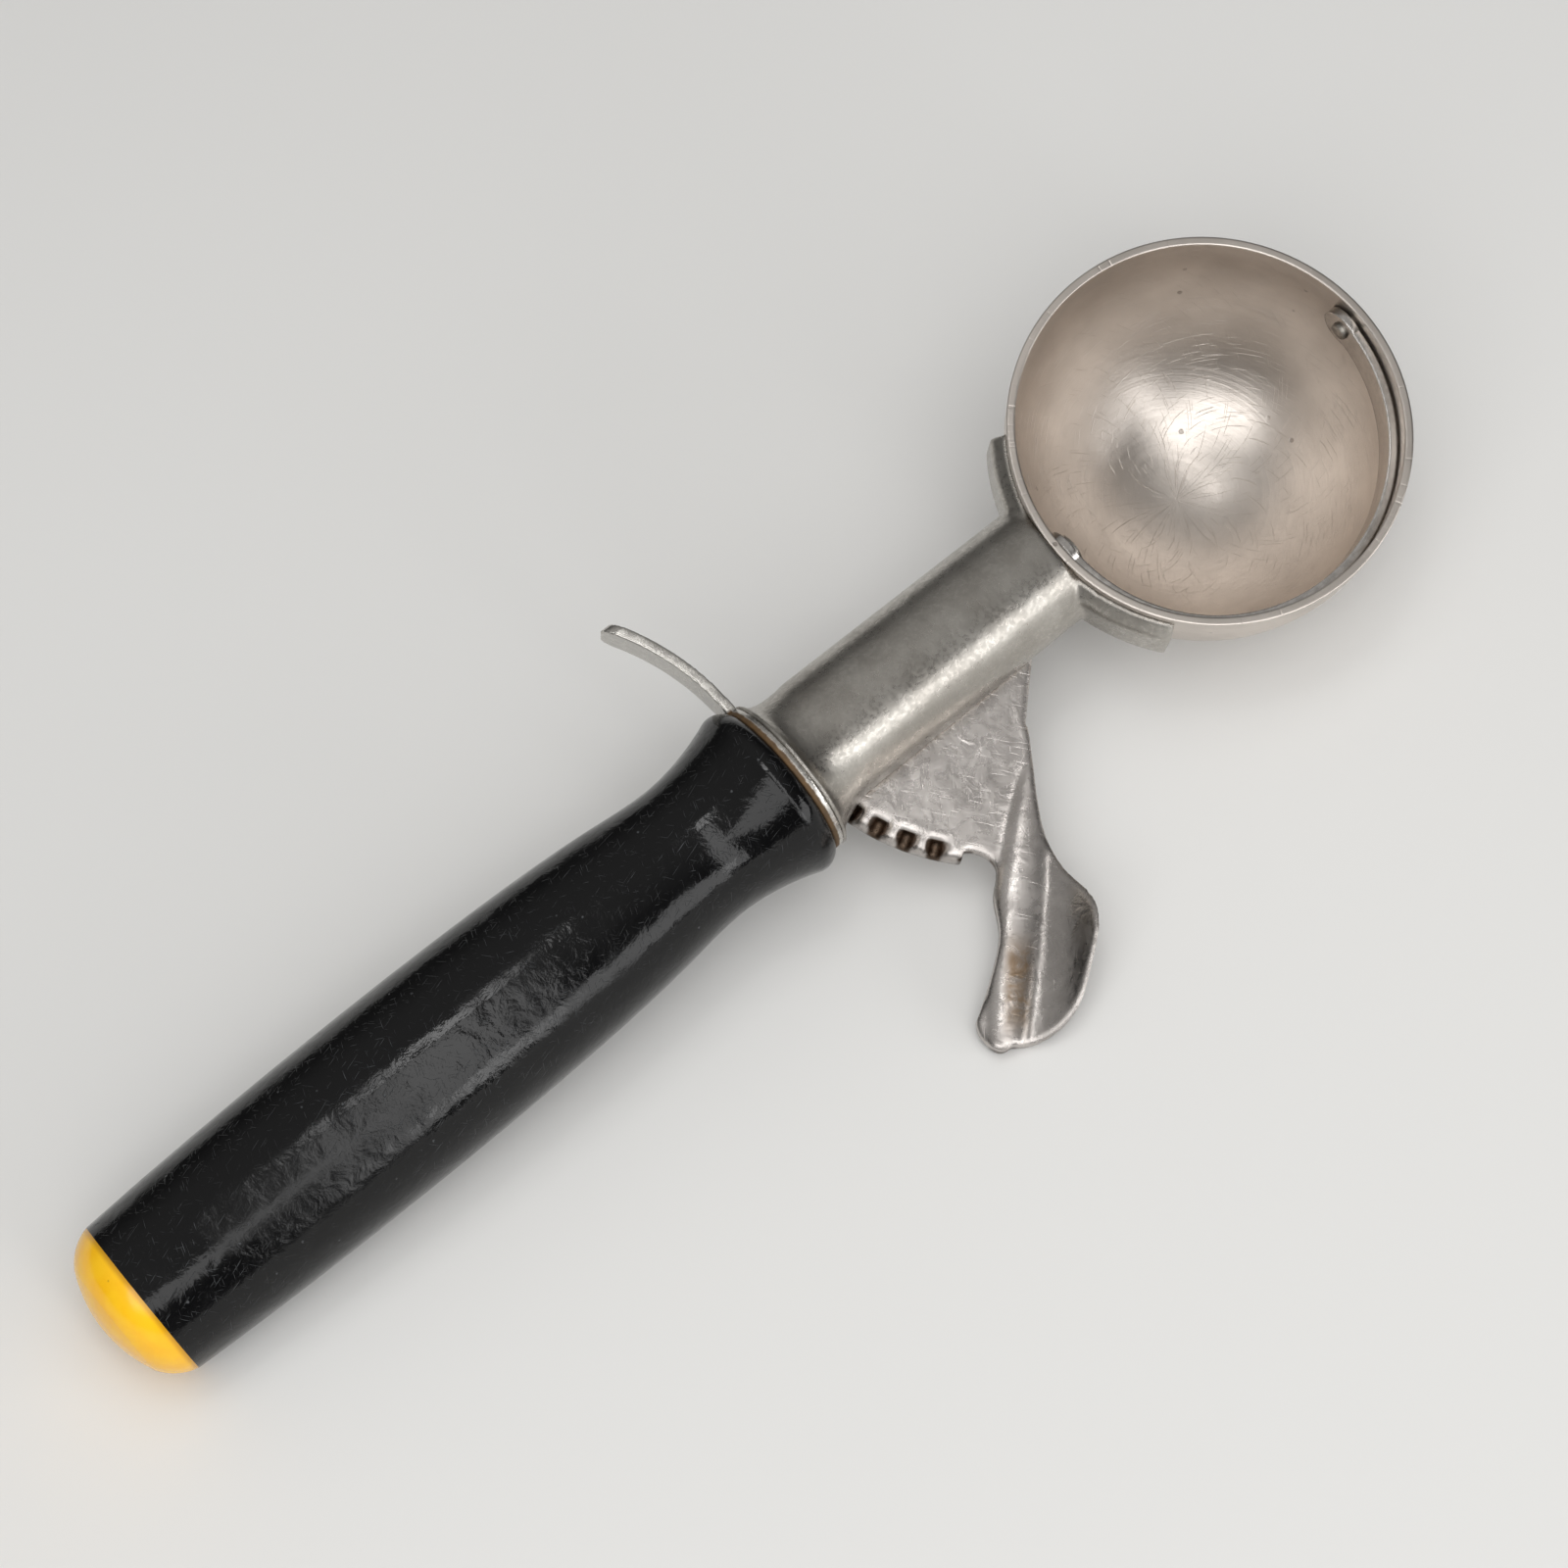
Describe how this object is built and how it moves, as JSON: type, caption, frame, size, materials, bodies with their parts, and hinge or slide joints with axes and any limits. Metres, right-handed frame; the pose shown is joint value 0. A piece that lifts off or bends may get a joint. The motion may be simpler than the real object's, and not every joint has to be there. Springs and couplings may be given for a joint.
{
  "type": "lever_ice_cream_scoop",
  "caption": "Thumb-lever ice cream scoop: round bowl with a swept scraper blade, geared lever under an arched shank, finger rest and a turned handle with a domed end cap.",
  "frame": {"origin": "Centre of the bowl's mouth, in the plane of its rim.", "axes": "+X runs along the handle towards the bowl, +Z points out of the bowl's mouth, +Y is the finger rest's side; the thumb lever stands out on -Y."},
  "size_m": [0.2203, 0.0808, 0.0408],
  "materials": {
    "plated_bowl": "satin, worn plating with fine circular polish marks",
    "plated_cast": "satin grainy plating over a casting",
    "plated_sheet": "bright plating, dented and worn on the ridge",
    "spring_steel": "bright drawn wire",
    "brass_bush": "turned",
    "black_enamel": "glossy black with fine scratches and dents",
    "yellow_cap": "glossy, slightly dirty"
  },
  "bodies": {
    "frame": {"bowl": "plated_bowl", "far_pivot_pin": "plated_cast", "shank": "plated_cast", "front_bush": "brass_bush", "rear_bush": "brass_bush", "stop_pin": "plated_cast", "return_spring": "spring_steel", "thrust_washer": "brass_bush", "head_washer": "plated_cast", "pivot_screw": "plated_cast", "finger_rest": "plated_sheet", "handle_grip": "black_enamel", "tang_rod": "plated_cast", "rod_washer": "plated_cast", "rod_nut": "plated_cast", "end_cap": "yellow_cap"},
    "sweep": {"scraper_blade": "plated_sheet", "axle": "plated_cast", "pinion": "plated_cast", "pinion_pin": "plated_cast"},
    "lever": {"lever": "plated_sheet"}
  },
  "joints": [
    {"name": "lever_pivot", "type": "hinge", "parent": "frame", "child": "lever", "pos_m": [-0.0394, 0, -0.0107], "axis": [0, 0, -1], "range_deg": [0, 30.3], "stiffness_Nm_per_rad": 0.5, "springref_deg": -20.05, "deforming": ["return_spring"]},
    {"name": "blade_sweep", "type": "hinge", "parent": "frame", "child": "sweep", "pos_m": [0, 0, -0.0046], "axis": [1, 0, 0], "range_deg": [0, 165]}
  ],
  "couplings": [
    {"joint": "blade_sweep", "follows": "lever_pivot", "ratio": 5.4444}
  ]
}
